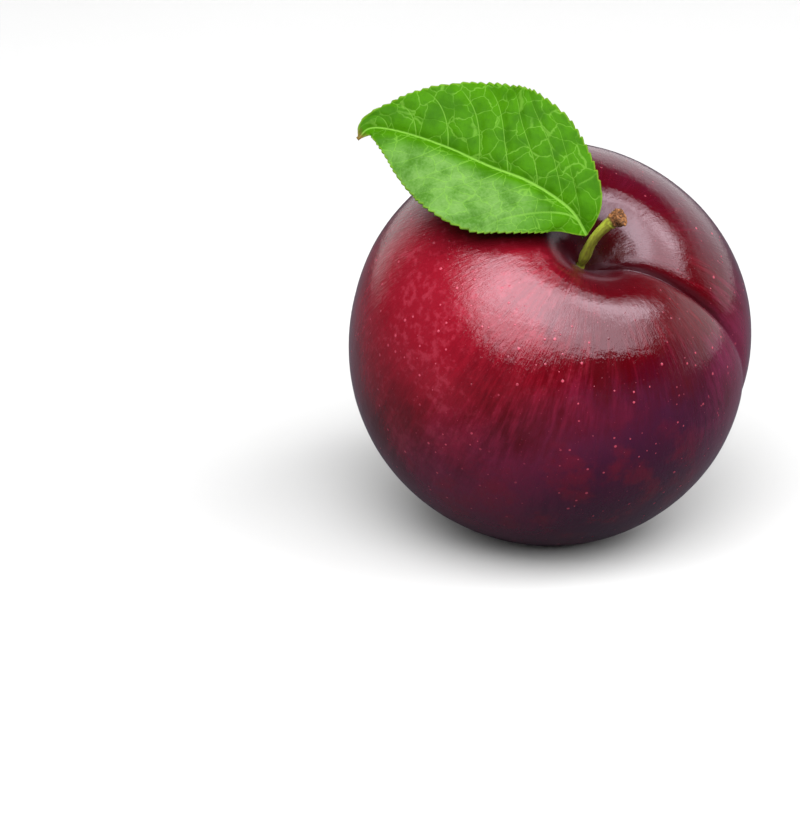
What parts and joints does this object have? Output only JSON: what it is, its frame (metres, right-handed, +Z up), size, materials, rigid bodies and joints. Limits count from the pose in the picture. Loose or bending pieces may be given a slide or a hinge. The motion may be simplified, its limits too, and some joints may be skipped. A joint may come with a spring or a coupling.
{
  "type": "plum",
  "caption": "Ripe round plum with a suture groove, a short curved stalk in its hollow and a toothed leaf, resting on a small flat spot.",
  "frame": {"origin": "middle of the flat spot that the fruit rests on", "axes": "+Z up from the surface it rests on, -Y the side that the stalk end leans towards, -X the side that the leaf reaches out to"},
  "size_m": [0.058, 0.0582, 0.0673],
  "materials": {
    "fruit": "thin glossy skin with a waxy bloom, deep crimson to purple",
    "stalk": "satin yellow-green stalk with a brown corky end",
    "leaf": "satin green leaf blade"
  },
  "bodies": {
    "root": {"fruit": "fruit", "stalk": "stalk", "leaf": "leaf"}
  },
  "joints": []
}
